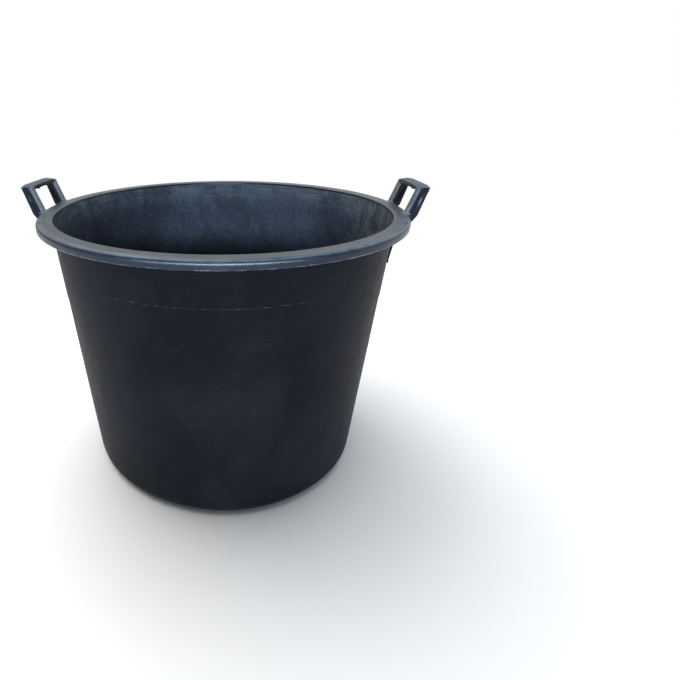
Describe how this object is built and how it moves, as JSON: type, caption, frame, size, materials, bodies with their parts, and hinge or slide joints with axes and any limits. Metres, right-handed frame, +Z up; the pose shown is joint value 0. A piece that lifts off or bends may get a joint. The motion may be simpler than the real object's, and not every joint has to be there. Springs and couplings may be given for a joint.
{
  "type": "mortar mixing tub",
  "caption": "Tall round black plastic builder's tub for mixing mortar, with a turned-down rim, rounded heel, recessed floor and a fixed handle on either side.",
  "frame": {"origin": "centre of the footprint, on the ground under the foot ring", "axes": "+Z up along the tub's axis, +X through the middle of one handle, the other handle on -X"},
  "size_m": [0.6452, 0.6, 0.4878],
  "materials": {
    "body_plastic": "satin moulded black plastic, lightly scuffed",
    "rim_plastic": "satin moulded black plastic, rubbed paler on top",
    "handle_plastic": "semi-gloss moulded black plastic",
    "base_plastic": "dull black plastic, worn by the ground"
  },
  "bodies": {
    "root": {"floor_circle_band": "base_plastic", "floor_plate": "base_plastic", "foot_ring": "base_plastic", "gate_mark": "base_plastic", "heel_corner": "body_plastic", "left_front_arm_bead": "handle_plastic", "left_front_arm_web": "handle_plastic", "left_front_gusset_fin": "handle_plastic", "left_grip_cross_ribs": "handle_plastic", "left_grip_inner_skirt": "handle_plastic", "left_grip_outer_skirt": "handle_plastic", "left_grip_plate": "handle_plastic", "left_rear_arm_bead": "handle_plastic", "left_rear_arm_web": "handle_plastic", "left_rear_gusset_fin": "handle_plastic", "lower_wall": "body_plastic", "mould_mark_rings": "base_plastic", "right_front_arm_bead": "handle_plastic", "right_front_arm_web": "handle_plastic", "right_front_gusset_fin": "handle_plastic", "right_grip_cross_ribs": "handle_plastic", "right_grip_inner_skirt": "handle_plastic", "right_grip_outer_skirt": "handle_plastic", "right_grip_plate": "handle_plastic", "right_rear_arm_bead": "handle_plastic", "right_rear_arm_web": "handle_plastic", "right_rear_gusset_fin": "handle_plastic", "rim_plate": "rim_plastic", "rim_rib": "rim_plastic", "rim_roll": "rim_plastic", "upper_wall": "body_plastic"}
  },
  "joints": []
}
